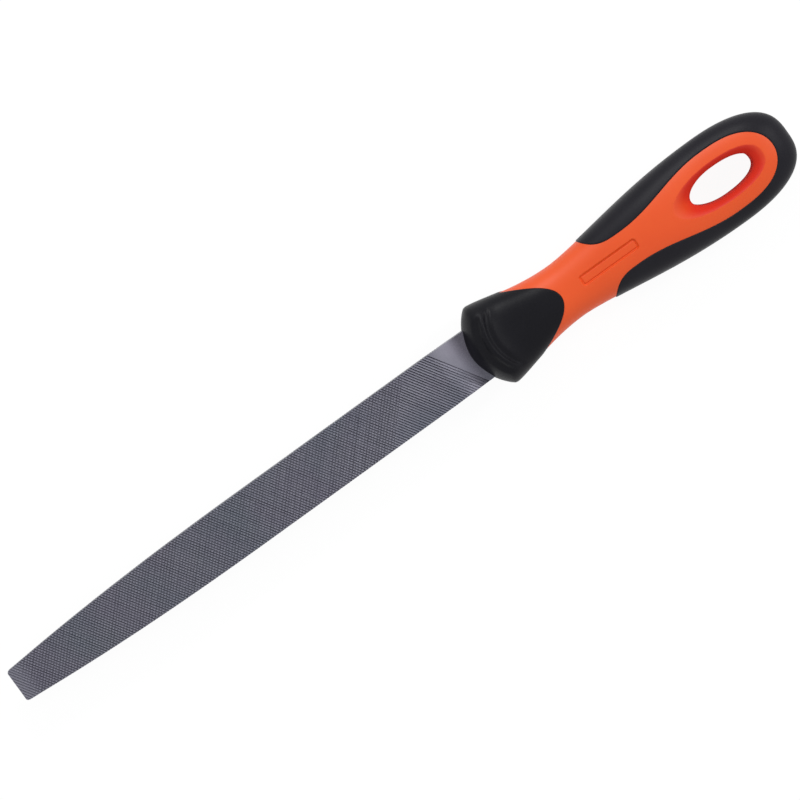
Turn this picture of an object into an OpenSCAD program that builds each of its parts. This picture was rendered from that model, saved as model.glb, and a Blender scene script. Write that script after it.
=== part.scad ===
// Flat file: a double-tapered steel blade pressed into a two-component handle.
// The long axis is X, from the tip at -X to the handle's end at +X. The faces look up and down.

/* [Blade] */
// Length of the blade from its tip to where it enters the handle
blade_length = 200; // [150:5:300]
// Width of the blade over its parallel part
blade_width = 20.4; // [16:0.2:24]
// Thickness of the blade at its heel
blade_thickness = 5; // [4:0.1:6]
// Width of the blade at its tip
tip_width = 12.5; // [8:0.1:15]
// Thickness of the blade at its tip
tip_thickness = 3.4; // [2.5:0.1:3.9]
// Length of the front part that narrows towards the tip
taper_length = 105; // [80:1:120]
// Width of the heel where it enters the handle
heel_width = 19.8; // [15:0.2:24]
// Length over which the heel narrows to that width
heel_taper = 16; // [8:0.5:25]
// Radius of the tip's two corners
tip_corner = 0.9; // [0.5:0.1:2]

/* [Teeth] */
// Distance from one tooth to the next, square to the tooth lines
tooth_pitch = 0.89; // [0.8:0.01:1.6]
// Angle between a tooth line and the long axis
tooth_angle = 58; // [50:1:70]
// Depth of the gullets below the crests
tooth_depth = 0.36; // [0.2:0.02:0.5]
// Length of the smooth heel, along the axis, between the last tooth and the handle
smooth_heel = 8.3; // [7:0.1:14]

/* [Tang] */
// Length of the tang inside the handle
tang_length = 62; // [50:1:72]
// Width of the tang behind its shoulders
tang_width = 8.6; // [7:0.1:10]
// Width of the tang at its end
tang_tip_width = 3.6; // [2.5:0.1:5]
// Thickness of the tang at its end
tang_tip_thickness = 2.6; // [2:0.1:3.2]
// Radius of the hollow that leads each shoulder into the tang
shoulder_radius = 5; // [4:0.1:5.5]
// Gap left all round the steel in its slot and socket
fit_clearance = 0.1; // [0.05:0.01:0.3]

/* [Handle shape] */
// Length of the handle from its domed nose to its end
handle_length = 137.1; // [125:0.5:155]
// How far the nose reaches forward over the smooth heel
nose_cover = 2.85; // [2:0.05:4]
// Width over the lip behind the nose
lip_width = 32.4; // [30:0.1:36]
// Thickness over the lip
lip_thickness = 24; // [21:0.1:28]
// Distance from the nose to the widest place of the lip
lip_at = 8.3; // [7:0.1:10]
// Distance from the nose to the lip's ridge on the two faces
ridge_at = 8.2; // [7:0.05:10]
// Thickness in the thumb's saddle behind the lip
saddle_thickness = 19.4; // [18:0.1:21]
// Distance from the nose to the bottom of the saddle
saddle_at = 18; // [15:0.1:20]
// Thickness over the swell behind the saddle
swell_thickness = 20.6; // [19.5:0.1:23]
// Distance from the nose to the top of that swell
swell_at = 30; // [26:0.1:33]
// Width of the waist
waist_width = 22.1; // [19:0.1:25]
// Thickness of the waist
waist_thickness = 19.2; // [17:0.1:21]
// Distance from the nose to the waist
waist_at = 41.5; // [38:0.1:46]
// Thickness in the middle of the palm
palm_thickness = 22.4; // [20:0.1:25]
// Distance from the nose to the middle of the palm
palm_at = 79; // [70:0.5:85]
// Width of the flared end
end_width = 34.9; // [31:0.1:38]
// Thickness of the flared end
end_thickness = 18.6; // [17:0.1:21]
// Distance from the widest place of the end to the handle's end
flare_length = 30.2; // [27:0.1:33]
// Length over which the end rounds off on its faces
end_round = 17; // [12:0.5:20]
// How square the sections are: 2 is an ellipse
squareness = 2.5; // [2:0.1:3]

/* [Soft covers] */
// Thickness of the soft covers
cover_thickness = 2.2; // [1.6:0.1:2.6]
// How far the soft covers stand above the hard core
cover_step = 0.3; // [0.2:0.05:0.5]
// Distance from the nose to the end of the collar's tongue
tongue_at = 38.4; // [36:0.1:42]
// Distance from the nose to where the collar's edge crosses the sides
collar_side_at = 21.3; // [20:0.1:25]
// Distance from the nose to the front ends of the rear grip
grip_at = 54; // [50:0.1:58]
// Distance from the nose to the narrowest place between the grip's arms
pinch_at = 67.9; // [64:0.1:72]
// Width of the hard face between the arms there
pinch_width = 13.1; // [11:0.1:15]
// Width of the hard face round the hanging hole
island_width = 25; // [23:0.1:27]
// Width of the soft band behind the hard face
end_band = 7.2; // [6:0.1:9]

/* [Hanging hole] */
// Length of the egg-shaped hanging hole
hole_length = 26.1; // [20:0.1:28]
// Width of the hole
hole_width = 11.4; // [9:0.1:12]
// Distance from the back of the hole to the handle's end
hole_back = 16.1; // [14:0.1:19]
// Width of the dish beside the hole
dish_side = 2.1; // [1.5:0.1:3]
// Length of the dish in front of the hole
dish_front = 7.7; // [3:0.1:9]
// Length of the dish behind the hole
dish_rear = 4.4; // [2:0.1:5]
// Depth of the dish at the hole's rim
dish_depth = 3; // [1.5:0.1:3.5]

/* [Label recess] */
// Length of the bare recess for a label
label_length = 23.8; // [15:0.2:25]
// Width of the recess
label_width = 4.1; // [3:0.1:6]
// Depth of the recess
label_depth = 0.4; // [0.2:0.05:0.8]
// Distance from the nose to the recess
label_at = 47; // [44:0.2:50]

/* [Hidden] */

cut = 1;                    // how far a cutter reaches past what it cuts
section_points = 36;        // points round one section of the handle
curve_steps = 14;           // points along one curve of an outline

overall_length = blade_length + handle_length - nose_cover;
tip_x = -overall_length / 2;
heel_x = tip_x + blade_length;
nose_x = heel_x - nose_cover;
end_at = handle_length - flare_length;

function ease(t) = (1 - cos(180 * t)) / 2;
function arc_drop(t, power, round) = pow(max(0, 1 - pow(t, power)), 1 / round);
function bulge(v, power) = sign(v) * pow(abs(v), 2 / power);

// ---------------------------------------------------------------- blade

tooth_count = ceil((blade_length + blade_width) / tooth_pitch);
gullet_share = 0.22;        // part of the pitch that the steep front of a tooth takes
belly = 2.35;               // how late the taper bends in: 1 is straight
tang_root_x = heel_x + nose_cover;
tang_end_x = heel_x + tang_length;

// Half of a size that shrinks from the parallel part to the tip
function tapered(full, tip, x) =
    (full - (full - tip) * pow(max(0, (tip_x + taper_length - x) / taper_length), belly)) / 2;

// One side of the blade and tang, from the tip's corner to the tang's end
function blade_side(gap = 0) = concat(
    [for (i = [0:5]) let (a = 90 * i / 5)
        [tip_x + tip_corner * (1 - cos(a)), tip_width / 2 - tip_corner * (1 - sin(a)) + gap]],
    [for (i = [1:curve_steps]) let (x = tip_x + tip_corner + (taper_length - tip_corner) * i / curve_steps)
        [x, tapered(blade_width, tip_width, x) + gap]],
    [[heel_x - heel_taper, blade_width / 2 + gap],
     [heel_x, heel_width / 2 + gap],
     [tang_root_x + gap, heel_width / 2 + gap]],
    [for (i = [0:6]) let (a = 90 * i / 6, r = shoulder_radius - gap)
        [tang_root_x + shoulder_radius - r * cos(a), tang_width / 2 + shoulder_radius - r * sin(a)]],
    [[tang_end_x + gap, tang_tip_width / 2 + gap]]
);

module blade_plan(gap = 0) {
    side = blade_side(gap);
    polygon(concat(side, [for (i = [len(side) - 1:-1:0]) [side[i][0], -side[i][1]]]));
}

// The steel seen from its edge: parallel over the heel, thinner to the tip, and thinner
// from where it meets the handle to the tang's end
module blade_edge(gap = 0) {
    top = concat(
        [for (i = [0:curve_steps]) let (x = tip_x + taper_length * i / curve_steps)
            [x, tapered(blade_thickness, tip_thickness, x) + gap]],
        [[nose_x, blade_thickness / 2 + gap], [tang_end_x + gap, tang_tip_thickness / 2 + gap]]
    );
    polygon(concat(top, [for (i = [len(top) - 1:-1:0]) [top[i][0], -top[i][1]]]));
}

// A block as long as the file whose upper side carries the row of teeth
module tooth_comb() {
    reach = overall_length;
    rake = 90 - tooth_angle;
    last = -smooth_heel * cos(rake);
    teeth = [for (i = [0:tooth_count - 1]) let (
            p = last - i * tooth_pitch,
            crest = tapered(blade_thickness, tip_thickness, heel_x + p / cos(rake)))
        each [[p, crest], [p - gullet_share * tooth_pitch, crest - tooth_depth]]];
    translate([heel_x, 0, 0]) rotate([90, 0, rake])
        linear_extrude(2 * reach, center = true)
            polygon(concat(
                [[reach, -blade_thickness], [reach, blade_thickness / 2], [last, blade_thickness / 2]],
                teeth,
                [[-reach, 0], [-reach, -blade_thickness]]));
}

module file_blade() {
    color("slategray") intersection() {
        linear_extrude(blade_thickness + cut, center = true) blade_plan();
        rotate([90, 0, 0]) linear_extrude(blade_width + cut, center = true) blade_edge();
        tooth_comb();
        rotate([180, 0, 0]) tooth_comb();
    }
}

// The room that the handle leaves for the heel and the tang
module steel_room() {
    intersection() {
        linear_extrude(2 * blade_thickness, center = true) blade_plan(fit_clearance);
        rotate([90, 0, 0]) linear_extrude(2 * blade_width, center = true) blade_edge(fit_clearance);
    }
}

// ---------------------------------------------------------------- handle shape

// Each station is a crest or a hollow: its distance from the nose, half its size there,
// and how early the run to the next station bends
width_stations = [
    [lip_at, lip_width / 2, 0.72],
    [waist_at, waist_width / 2, 0.75],
    [end_at, end_width / 2, 1]
];
thickness_stations = [
    [ridge_at, lip_thickness / 2, 0.8],
    [saddle_at, saddle_thickness / 2, 1],
    [swell_at, swell_thickness / 2, 1],
    [waist_at, waist_thickness / 2, 1],
    [palm_at, palm_thickness / 2, 1],
    [end_at, end_thickness / 2, 1]
];
lip_power = 1.2;            // how abruptly the nose turns into the lip, seen from above
lip_round = 1.9;            // how blunt the nose is there
nose_power = 2;             // the same two, seen from the side
nose_round = 1.5;
flare_power = 2.3;          // how late the flared end turns in, seen from above
flare_round = 2.8;          // how blunt it is
edge_power = 2.4;           // the same two, seen from the side
edge_round = 2.2;

// Half the size at a distance d from the nose, between the first and the last station
function run(stations, d, i = 0) =
    i > len(stations) - 2 ? stations[i][1] :
    d > stations[i + 1][0] ? run(stations, d, i + 1) :
    let (a = stations[i], b = stations[i + 1], t = (d - a[0]) / (b[0] - a[0]))
        a[1] + (b[1] - a[1]) * ease(pow(max(0, t), a[2]));

// Half the width and half the thickness at a distance d, on a surface set in by a depth
function half_width(d, depth) =
    d < lip_at ? (width_stations[0][1] - depth)
        * arc_drop((lip_at - d) / (lip_at - depth), lip_power, lip_round) :
    d < end_at ? run(width_stations, d) - depth :
    (end_width / 2 - depth) * arc_drop((d - end_at) / (handle_length - depth - end_at), flare_power, flare_round);
function half_thickness(d, depth) =
    let (round_at = handle_length - end_round)
    d < ridge_at ? (thickness_stations[0][1] - depth)
        * arc_drop((ridge_at - d) / (ridge_at - depth), nose_power, nose_round) :
    d < round_at ? run(thickness_stations, d) - depth :
    (run(thickness_stations, d) - depth) * arc_drop((d - round_at) / (end_round - depth), edge_power, edge_round);

// One section of the handle as a ring of points
function section(d, depth) = [for (k = [0:section_points - 1]) let (a = 360 * k / section_points)
    [nose_x + d,
     half_width(d, depth) * bulge(cos(a), squareness),
     half_thickness(d, depth) * bulge(sin(a), squareness)]];

// Where the sections lie: close together over the nose and the end
nose_cuts = 8;
body_cuts = 20;
end_cuts = 9;
end_turn_at = handle_length - end_round;
function cuts(depth) = concat(
    [for (i = [0:nose_cuts - 1]) depth + (lip_at - depth) * pow((i + 0.4) / nose_cuts, 1.7)],
    [for (i = [0:body_cuts]) lip_at + (end_turn_at - lip_at) * i / body_cuts],
    [for (i = [1:end_cuts]) end_turn_at + (end_round - depth) * sin(90 * i / (end_cuts + 0.15))]
);

// The handle's form from the nose to the end, its surface set in by a depth
module handle_form(depth = 0) {
    d = cuts(depth);
    ring = [for (k = [0:section_points - 1]) k];
    for (i = [0:len(d) - 2])
        hull() polyhedron(
            points = concat(section(d[i], depth), section(d[i + 1], depth)),
            faces = [ring, [for (k = ring) k + section_points]]);
}

// ---------------------------------------------------------------- soft covers

block = 2 * lip_thickness;

// Plan of what the collar covers: everything up to a parabola that ends in the tongue
module collar_plan() {
    side_y = half_width(collar_side_at, 0);
    reach_y = lip_width / 2 + cut;
    function edge_x(y) = nose_x + tongue_at - (tongue_at - collar_side_at) * pow(y / side_y, 2);
    polygon(concat(
        [[nose_x - cut, -reach_y]],
        [for (i = [-curve_steps:curve_steps]) let (y = reach_y * i / curve_steps) [edge_x(y), y]],
        [[nose_x - cut, reach_y]]));
}

// Half the width of the hard face at a distance d from the nose, from the grip's ends backwards
function island_half(d) =
    d < pinch_at ? pinch_width / 2
        + (half_width(grip_at, 0) - pinch_width / 2) * pow((pinch_at - d) / (pinch_at - grip_at), 3.5) :
    d < end_at ? pinch_width / 2
        + (island_width - pinch_width) / 2 * ease((d - pinch_at) / (end_at - pinch_at)) :
    island_width / 2 * arc_drop((d - end_at) / (flare_length - end_band), 2.75, 2);

// Plan of the hard face between the rear grip's arms
module island_plan() {
    side = concat(
        [for (i = [0:curve_steps - 1]) grip_at + (pinch_at - grip_at) * i / curve_steps],
        [for (i = [0:curve_steps - 1]) pinch_at + (end_at - pinch_at) * i / curve_steps],
        [for (i = [0:curve_steps]) end_at + (flare_length - end_band) * sin(90 * i / curve_steps)]);
    polygon(concat(
        [for (d = side) [nose_x + d, island_half(d)]],
        [for (i = [len(side) - 2:-1:0]) [nose_x + side[i], -island_half(side[i])]]));
}

module rear_plan() {
    difference() {
        translate([nose_x + grip_at, -end_width]) square([handle_length, 2 * end_width]);
        island_plan();
    }
}

module front_collar() {
    color([0.13, 0.13, 0.15]) difference() {
        intersection() {
            handle_form();
            linear_extrude(block, center = true) collar_plan();
        }
        handle_form(cover_thickness);
        steel_room();
    }
}

module rear_grip() {
    color([0.13, 0.13, 0.15]) difference() {
        intersection() {
            handle_form();
            linear_extrude(block, center = true) rear_plan();
        }
        handle_form(cover_thickness);
    }
}

// ---------------------------------------------------------------- hard core

// Egg-shaped outline: round at the front, blunter behind its widest place
module egg(length_front, length_rear, width) {
    rear_power = 2.4;
    polygon([for (i = [0:4 * curve_steps - 1]) let (a = 90 * i / curve_steps)
        cos(a) < 0 ? [length_front * cos(a), width / 2 * sin(a)]
                   : [length_rear * bulge(cos(a), rear_power), width / 2 * bulge(sin(a), rear_power)]]);
}

module hanging_hole() {
    front = 0.475 * hole_length;
    rear = hole_length - front;
    middle = handle_length - hole_back - rear;
    face = half_thickness(middle, cover_step);
    translate([nose_x + middle, 0, 0]) {
        linear_extrude(block, center = true) egg(front, rear, hole_width);
        for (side = [0, 1]) mirror([0, 0, side]) hull() {
            translate([0, 0, face - dish_depth]) linear_extrude(0.01) egg(front, rear, hole_width);
            translate([0, 0, face]) linear_extrude(cut)
                egg(front + dish_front, rear + dish_rear, hole_width + 2 * dish_side);
        }
    }
}

module label_recess() {
    corner = label_width / 5;
    front_z = half_thickness(label_at, cover_step);
    rise = half_thickness(label_at + label_length, cover_step) - front_z;
    translate([nose_x + label_at, 0, front_z - label_depth]) rotate([0, -atan2(rise, label_length), 0])
        translate([label_length / 2, 0, 0]) linear_extrude(label_depth + cut)
            offset(corner) square([label_length - 2 * corner, label_width - 2 * corner], center = true);
}

module handle_core() {
    color([0.92, 0.38, 0.2]) difference() {
        union() {
            handle_form(cover_thickness);
            difference() {
                handle_form(cover_step);
                linear_extrude(block, center = true) { collar_plan(); rear_plan(); }
            }
        }
        steel_room();
        hanging_hole();
        label_recess();
    }
}

file_blade();
handle_core();
front_collar();
rear_grip();
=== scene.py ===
"""The look of a flat file: a double-cut steel blade pressed into a two-component handle.

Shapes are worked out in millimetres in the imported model's own axes: X runs from the tip at -X to
the handle's end at +X, and the faces look up and down. On the handle, d is the distance from its
nose, a is the angle round a section, from the side (0) to the face (a quarter turn), and a depth
is measured inwards from the outer skin. One quarter of the handle is made and then mirrored, and
only the core's upper face gets the label's recess.
"""
import math

import bmesh
import bpy
import numpy as np
from mathutils import Matrix, Vector


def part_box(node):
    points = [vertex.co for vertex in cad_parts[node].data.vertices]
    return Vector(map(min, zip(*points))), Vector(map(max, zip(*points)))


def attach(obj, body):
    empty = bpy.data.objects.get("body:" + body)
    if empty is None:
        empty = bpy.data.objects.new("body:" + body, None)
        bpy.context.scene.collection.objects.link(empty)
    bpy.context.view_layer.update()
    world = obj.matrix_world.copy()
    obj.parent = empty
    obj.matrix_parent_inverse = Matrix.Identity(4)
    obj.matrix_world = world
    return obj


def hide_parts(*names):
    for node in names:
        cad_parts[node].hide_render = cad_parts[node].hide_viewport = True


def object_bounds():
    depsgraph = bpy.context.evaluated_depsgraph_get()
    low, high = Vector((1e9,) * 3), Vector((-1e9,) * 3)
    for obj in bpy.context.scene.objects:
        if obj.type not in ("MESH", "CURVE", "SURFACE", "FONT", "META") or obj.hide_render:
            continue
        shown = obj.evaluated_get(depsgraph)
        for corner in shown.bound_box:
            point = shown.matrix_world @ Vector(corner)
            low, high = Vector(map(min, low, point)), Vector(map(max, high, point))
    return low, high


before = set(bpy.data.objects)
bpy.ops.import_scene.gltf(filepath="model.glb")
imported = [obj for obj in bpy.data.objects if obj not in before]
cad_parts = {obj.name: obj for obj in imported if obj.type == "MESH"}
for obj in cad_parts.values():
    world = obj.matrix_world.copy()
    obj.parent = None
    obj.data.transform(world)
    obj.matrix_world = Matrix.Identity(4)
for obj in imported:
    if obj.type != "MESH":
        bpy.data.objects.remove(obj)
cad_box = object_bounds()

MM = 0.001
MERGE_DIGITS = 4            # points that agree in so many decimals of a millimetre become one
QUARTER = math.pi / 2

# ---------------------------------------------------------------- sizes, in millimetres and degrees

# Blade and tang. Along the taper the width and the thickness shrink with the power BELLY.
BLADE_LENGTH = 200.0
BLADE_WIDTH, BLADE_THICKNESS = 20.4, 5.0
TIP_WIDTH, TIP_THICKNESS, TIP_CORNER = 12.5, 3.4, 0.9
TAPER_LENGTH, BELLY = 105.0, 2.35
HEEL_WIDTH, HEEL_TAPER = 19.8, 16.0
TANG_LENGTH, TANG_WIDTH = 62.0, 8.6
TANG_TIP_WIDTH, TANG_TIP_THICKNESS = 3.6, 2.6
SHOULDER_RADIUS = 5.0
FIT_CLEARANCE = 0.1

# Teeth. An angle is that of the lines to the axis, and an end is how far in front of the heel a row
# stops, on the axis. A tooth's gullet and half a groove are given as shares of their row's pitch.
UPCUT_PITCH, UPCUT_DEPTH, UPCUT_ANGLE, UPCUT_END = 0.89, 0.36, 58.0, 8.3
GULLET_SHARE = 0.22
OVERCUT_PITCH, OVERCUT_DEPTH, OVERCUT_ANGLE, OVERCUT_END = 1.046, 0.2, 47.4, 34.0
GROOVE_SHARE = 0.28
PITCH_JITTER = 0.04
EDGE_PITCH, EDGE_DEPTH = 1.0, 0.14

# Handle. A station is a place, half the size there and the skew of the run to the next one. A
# closing is the power and the roundness of the arc that closes the form at one end.
HANDLE_LENGTH, NOSE_COVER = 137.1, 2.85
LIP_AT, LIP_WIDTH, LIP_POWER, LIP_ROUND, LIP_REACH = 8.3, 32.4, 1.2, 1.9, 14.0
END_WIDTH, END_ROUND, FLARE_LENGTH = 34.9, 17.0, 30.2
END_AT = HANDLE_LENGTH - FLARE_LENGTH
SQUARENESS = 2.5
WIDTHS = [(LIP_AT, LIP_WIDTH / 2, 0.72), (41.5, 11.05, 0.75), (END_AT, END_WIDTH / 2, 1)]
RIDGE_AT, SADDLE_AT = 8.2, 18.0
THICKNESSES = [(RIDGE_AT, 12.0, 0.8), (SADDLE_AT, 9.7, 1), (30.0, 10.3, 1), (41.5, 9.6, 1),
               (79.0, 11.2, 1), (END_AT, 9.3, 1)]
END_PLAN_CLOSING, NOSE_SIDE_CLOSING, END_SIDE_CLOSING = (2.3, 2.8), (2, 1.5), (2.4, 2.2)

# Soft covers. The core's bare face lies COVER_STEP below the skin, and a cover's edge is rounded. A
# hollow is its middle behind the nose's outline, half its width and its depth.
COVER_THICKNESS, COVER_STEP, COVER_EDGE = 2.2, 0.3, 0.5
TONGUE_AT, COLLAR_SIDE_AT = 38.4, 21.3
HOLLOWS = [(5.6, 2.1, 0.9), (10.0, 1.9, 0.8)]
HOLLOW_REACH, HOLLOW_FADE = 9.3, 3.2
GRIP_AT, PINCH_AT, PINCH_WIDTH, ISLAND_WIDTH, END_BAND = 54.0, 67.9, 13.1, 25.0, 7.2
ARM_POWER, ISLAND_CLOSING = 3.5, (2.75, 2)

# Hard core, with its hole, the dish round the hole and the label's recess
HOLE_LENGTH, HOLE_WIDTH, HOLE_BACK = 26.1, 11.4, 16.1
HOLE_FRONT_SHARE, HOLE_REAR_POWER = 0.475, 2.4
HOLE_FRONT = HOLE_FRONT_SHARE * HOLE_LENGTH
HOLE_REAR = HOLE_LENGTH - HOLE_FRONT
HOLE_AT = HANDLE_LENGTH - HOLE_BACK - HOLE_REAR
DISH_SIDE, DISH_FRONT, DISH_REAR, DISH_DEPTH, DISH_POWER = 2.1, 7.7, 4.4, 3.0, 1.15
RIM_RADIUS = 0.8
LABEL_AT, LABEL_LENGTH, LABEL_WIDTH, LABEL_DEPTH = 47.0, 23.8, 4.1, 0.4
LABEL_CORNER, LABEL_SLOPE, LABEL_LINE_HALF, LABEL_LINE_DEPTH = LABEL_WIDTH / 4, 0.3, 0.45, 0.35
LABEL_END = LABEL_AT + LABEL_LENGTH
CORE_ROWS, LABEL_ROWS = 43, 18      # rows of the hard face's mesh, and those of them beside the label

tip_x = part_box("file_blade")[0].x / MM
end_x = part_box("rear_grip")[1].x / MM
nose_x = end_x - HANDLE_LENGTH
heel_x = nose_x + NOSE_COVER
tang_root_x = heel_x + NOSE_COVER


# ---------------------------------------------------------------- meshes

class Shell:
    """Collects the patches of one closed mesh. Points that lie on each other become one."""

    def __init__(self):
        self.patches = []

    def add(self, points, faces):
        self.patches.append((np.asarray(points, float).reshape(-1, 3), np.asarray(faces)))

    def add_shell(self, other, signs):
        """Adds another shell, mirrored across each axis whose sign is -1."""
        inside_out = np.prod(signs) < 0
        for points, faces in other.patches:
            self.add(points * signs, faces[:, ::-1] if inside_out else faces)

    def grid(self, points):
        rows, columns = points.shape[:2]
        self.add(points, quads(np.arange(rows * columns).reshape(rows, columns)).reshape(-1, 4))

    def strip(self, line_a, line_b):
        """Triangles between two lines of points that run side by side."""
        share_a, share_b = [lengths(p) / lengths(p)[-1] for p in (line_a, line_b)]
        i, j, faces = 0, 0, []
        while i < len(line_a) - 1 or j < len(line_b) - 1:
            if j == len(line_b) - 1 or (i < len(line_a) - 1 and share_a[i + 1] <= share_b[j + 1]):
                faces.append((i, i + 1, len(line_a) + j))
                i += 1
            else:
                faces.append((i, len(line_a) + j + 1, len(line_a) + j))
                j += 1
        self.add(np.concatenate([line_a, line_b]), faces)

    def mirrored(self, *axes):
        """This shell together with its mirror images across the named axes."""
        images = [np.ones(3)]
        for axis in axes:
            flip = np.ones(3)
            flip[axis] = -1
            images += [signs * flip for signs in images]
        whole = Shell()
        for signs in images:
            whole.add_shell(self, signs)
        return whole

    def mesh(self, name, smooth=True):
        """An object with this mesh, in metres, whose faces all look outwards."""
        points = np.concatenate([p for p, _ in self.patches])
        starts = np.append(0, np.cumsum([len(p) for p, _ in self.patches]))
        _, first, merged = np.unique(np.round(points, MERGE_DIGITS) + 0.0, axis=0,
                                     return_index=True, return_inverse=True)
        merged = merged.reshape(-1)
        polygons = []
        for (_, faces), start in zip(self.patches, starts):
            polygons += unfolded(merged[faces + start])
        mesh = bpy.data.meshes.new(name)
        mesh.from_pydata((points[first] * MM).tolist(), [], polygons)
        bm = bmesh.new()
        bm.from_mesh(mesh)
        bmesh.ops.recalc_face_normals(bm, faces=bm.faces)
        bm.to_mesh(mesh)
        bm.free()
        if smooth:
            mesh.shade_smooth()
        else:
            mesh.shade_flat()
        obj = bpy.data.objects.new(name, mesh)
        bpy.context.collection.objects.link(obj)
        return obj


def lengths(line):
    """How far each point of a line lies from its first one, along the line."""
    return np.append(0, np.cumsum(np.linalg.norm(np.diff(line, axis=0), axis=1)))


def quads(index):
    """The four corners of each cell of a grid."""
    return np.stack([index[:-1, :-1], index[1:, :-1], index[1:, 1:], index[:-1, 1:]], -1)


def unfolded(faces):
    """The faces as lists, less the sides that shrank to a point and the faces that folded flat."""
    folded = (faces == np.roll(faces, 1, axis=1)).any(1)
    polygons = faces[~folded].tolist()
    for face in faces[folded].tolist():
        face = [v for k, v in enumerate(face) if v != face[k - 1]]
        if len(set(face)) > 2:
            polygons.append(face)
    return polygons


def boolean(obj, operation, cutter):
    """Cuts obj with the cutter, which is used up."""
    modifier = obj.modifiers.new("cut", "BOOLEAN")
    modifier.operation, modifier.object, modifier.solver = operation, cutter, "MANIFOLD"
    cut = bpy.data.meshes.new_from_object(obj.evaluated_get(bpy.context.evaluated_depsgraph_get()))
    obj.modifiers.clear()
    obj.data = cut
    bpy.data.objects.remove(cutter)


def mark(mesh, name, value_at):
    """Gives each point of a mesh a value that its material reads, from its place in millimetres."""
    places = np.empty(len(mesh.vertices) * 3)
    mesh.vertices.foreach_get("co", places)
    values = value_at(*(places.reshape(-1, 3).T / MM))
    values = np.clip(values, 0, 1).astype(np.float32)
    mesh.attributes.new(name, "FLOAT", "POINT").data.foreach_set("value", values)


def smoothstep(t):
    t = np.clip(t, 0, 1)
    return t * t * (3 - 2 * t)


# ---------------------------------------------------------------- form of the handle

def ease(t):
    return (1 - np.cos(math.pi * np.clip(t, 0, 1))) / 2


def arc_drop(t, power, roundness):
    """A closing arc: 1 where it starts and 0 at the end of the form."""
    return (1 - np.clip(t, 0, 1) ** power) ** (1 / roundness)


def run(stations, d):
    """Half a size between stations, each a crest or a hollow with its own skew."""
    size = np.full(np.shape(d), stations[0][1], float)
    for (d0, size0, skew), (d1, size1, _) in zip(stations, stations[1:]):
        t = np.clip((d - d0) / (d1 - d0), 0, 1) ** skew
        size = np.where(d >= d0, size0 + (size1 - size0) * ease(t), size)
    return size


def half_width(d, depth=0.0):
    nose = (LIP_WIDTH / 2 - depth) * arc_drop((LIP_AT - d) / (LIP_AT - depth), LIP_POWER, LIP_ROUND)
    end = (END_WIDTH / 2 - depth) * arc_drop((d - END_AT) / (FLARE_LENGTH - depth), *END_PLAN_CLOSING)
    return np.where(d < LIP_AT, nose, np.where(d < END_AT, run(WIDTHS, d) - depth, end))


def half_thickness(d, depth=0.0):
    round_at = HANDLE_LENGTH - END_ROUND
    body = run(THICKNESSES, d) - depth
    nose = (THICKNESSES[0][1] - depth) * arc_drop((RIDGE_AT - d) / (RIDGE_AT - depth), *NOSE_SIDE_CLOSING)
    end = body * arc_drop((d - round_at) / (END_ROUND - depth), *END_SIDE_CLOSING)
    return np.where(d < RIDGE_AT, nose, np.where(d < round_at, body, end))


def nose_front(y):
    """How far the nose's outline has drawn back at a distance y from the axis."""
    share = np.clip(np.abs(y) / (LIP_WIDTH / 2), 0, 1)
    return LIP_AT * (1 - (1 - share ** LIP_ROUND) ** (1 / LIP_POWER))


def swept(d, y):
    """The lip's crest follows the nose's outline: beside the axis it lies further back."""
    follow, fade_from, fade_over = 0.7, 9, 14
    y = np.abs(y) / (1 + (y / LIP_REACH) ** 4) ** 0.25         # levels off at the reach
    return d - follow * nose_front(y) * (1 - smoothstep((d - fade_from) / fade_over))


def across(d, a, depth=0.0):
    """Distance from the axis, seen from above, of a place on the skin or at a depth below it."""
    return half_width(d, depth) * np.clip(np.cos(a), 0, 1) ** (2 / SQUARENESS)


def skin(d, a):
    y = across(d, a)
    z = half_thickness(swept(d, y)) * np.clip(np.sin(a), 0, 1) ** (2 / SQUARENESS)
    return np.stack(np.broadcast_arrays(nose_x + d, y, z), -1)


def inner_skin(d, a, depth=COVER_THICKNESS):
    """The skin set in by a depth, as the hard core has it under the covers."""
    round_at = HANDLE_LENGTH - END_ROUND
    d = np.where(d < LIP_AT, depth + (LIP_AT - depth) * d / LIP_AT,
                 np.where(d < round_at, d, round_at + (END_ROUND - depth) * (d - round_at) / END_ROUND))
    y = across(d, a, depth)
    z = half_thickness(d, depth) * np.clip(np.sin(a), 0, 1) ** (2 / SQUARENESS)
    return np.stack(np.broadcast_arrays(nose_x + d, y, z), -1)


def skin_normal(d, a):
    """The direction in which the skin looks, kept within a plane of symmetry on that plane."""
    step_d, step_a = 0.02, 0.004
    nose_margin, end_margin, on_plane = 0.05, 0.03, 1e-6
    inside = np.clip(d, nose_margin, HANDLE_LENGTH - end_margin)
    along = skin(inside + step_d, a) - skin(inside - step_d, a)
    around = skin(inside, np.minimum(a + step_a, QUARTER)) - skin(inside, np.maximum(a - step_a, 0))
    normal = np.cross(around, along)
    here = skin(d, a)
    normal[np.abs(here) < on_plane] = 0
    return normal / np.linalg.norm(normal, axis=-1, keepdims=True)


def plan_angle(d, y):
    """The angle round the section at which the skin is y from the axis."""
    share = np.clip(y / np.maximum(half_width(d), 1e-9), 0, 1)
    return np.arccos(share ** (SQUARENESS / 2))


def distance_to(line, points):
    """Shortest distance from each point to a line of points, worked out in batches to save memory."""
    batch = 2000
    start, side = line[:-1], np.diff(line, axis=0)
    flat, nearest = points.reshape(-1, points.shape[-1]), []
    for part in np.array_split(flat, 1 + len(flat) // batch):
        to = part[:, None] - start
        t = np.clip((to * side).sum(-1) / (side * side).sum(-1), 0, 1)
        nearest.append(np.sqrt(((to - t[..., None] * side) ** 2).sum(-1).min(1)))
    return np.concatenate(nearest).reshape(points.shape[:-1])


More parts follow.
